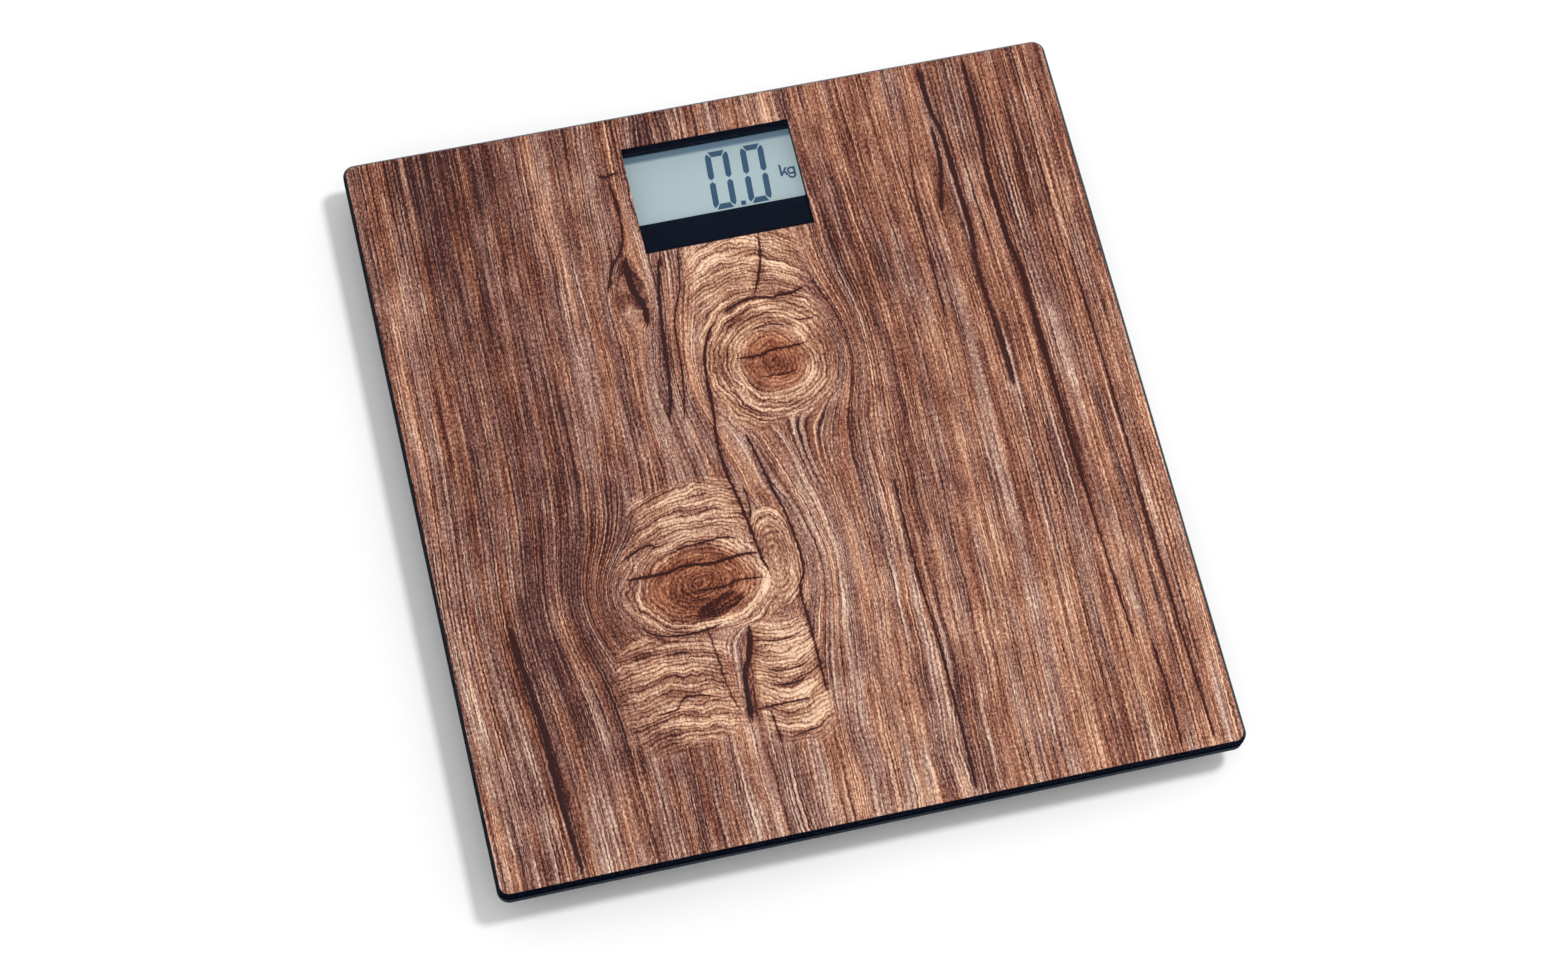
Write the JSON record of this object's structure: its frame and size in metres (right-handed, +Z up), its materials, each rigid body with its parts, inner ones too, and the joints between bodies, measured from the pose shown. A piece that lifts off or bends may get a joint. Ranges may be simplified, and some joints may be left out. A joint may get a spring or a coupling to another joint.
{
  "type": "digital bathroom scale",
  "caption": "Slim digital bathroom scale: wood-grain glass platform on a moulded tray, LCD window at the rear, load-cell feet, hinged battery door and unit button below.",
  "frame": {"origin": "on the floor, below the middle of the platform", "axes": "+X to the right, +Y to the display end, +Z up through the platform"},
  "size_m": [0.3, 0.32, 0.022],
  "materials": {
    "decor_film": "printed wood grain, satin",
    "glass_platform": "tempered, polished bevel",
    "back_print": "black screen print",
    "platform_tape": "foam tape",
    "base_tray": "moulded ABS, fine texture",
    "display_frame": "moulded, black",
    "lcd_panel": "reflective LCD, frosted polariser",
    "lcd_segments": "liquid-crystal segments",
    "lcd_reflector": "brushed foil",
    "zebra_strips": "striped elastomer",
    "main_board": "solder-masked glass fibre",
    "screw_steel": "zinc plated",
    "chip_blob": "epoxy",
    "smd_parts": "fired ceramic",
    "clock_crystal": "tin-plated can",
    "buffer_capacitor": "sleeved",
    "tact_switch": "stamped cover",
    "switch_plunger": "moulded",
    "unit_button": "moulded, grey",
    "coin_cell": "nickel-plated steel",
    "contact_steel": "nickel-plated spring steel",
    "wire_red": "PVC insulation",
    "wire_black": "PVC insulation",
    "battery_door": "moulded ABS, fine texture",
    "load_cell": "stamped, zinc plated",
    "strain_gauges": "polyimide foil",
    "sensor_retainer": "moulded ABS",
    "wire_white": "PVC insulation",
    "foot_cup": "moulded ABS",
    "foot_pad": "moulded rubber"
  },
  "bodies": {
    "root": {"decor_film": "decor_film", "glass_platform": "glass_platform", "back_print": "back_print", "platform_tape": "platform_tape", "base_tray": "base_tray", "display_frame": "display_frame", "lcd_panel": "lcd_panel", "lcd_segments": "lcd_segments", "lcd_reflector": "lcd_reflector", "zebra_strips": "zebra_strips", "main_board": "main_board", "display_screws": "screw_steel", "chip_blob": "chip_blob", "smd_parts": "smd_parts", "clock_crystal": "clock_crystal", "buffer_capacitor": "buffer_capacitor", "tact_switch": "tact_switch", "coin_cell": "coin_cell", "battery_contact_positive": "contact_steel", "battery_contact_negative": "contact_steel", "battery_lead_positive": "wire_red", "battery_lead_negative": "wire_black", "load_cell_front_left": "load_cell", "load_cell_front_right": "load_cell", "load_cell_rear_left": "load_cell", "load_cell_rear_right": "load_cell", "strain_gauges": "strain_gauges", "sensor_retainer_front_left": "sensor_retainer", "sensor_retainer_front_right": "sensor_retainer", "sensor_retainer_rear_left": "sensor_retainer", "sensor_retainer_rear_right": "sensor_retainer", "retainer_screws": "screw_steel", "sensor_wires_red": "wire_red", "sensor_wires_white": "wire_white", "sensor_wires_black": "wire_black", "foot_cup_front_left": "foot_cup", "foot_cup_front_right": "foot_cup", "foot_cup_rear_left": "foot_cup", "foot_cup_rear_right": "foot_cup", "foot_pad_front_left": "foot_pad", "foot_pad_front_right": "foot_pad", "foot_pad_rear_left": "foot_pad", "foot_pad_rear_right": "foot_pad"},
    "button": {"unit_button": "unit_button", "switch_plunger": "switch_plunger"},
    "battery_door": {"battery_door": "battery_door"}
  },
  "joints": [
    {"name": "battery_door_hinge", "type": "hinge", "parent": "root", "child": "battery_door", "pos_m": [0.022, 0.04, 0.0052], "axis": [-1, 0, 0], "range_deg": [0, 90]},
    {"name": "unit_button_press", "type": "slide", "parent": "root", "child": "button", "axis": [0, 0, 1], "range_m": [0, 0.0003], "stiffness_N_per_m": 4000}
  ]
}
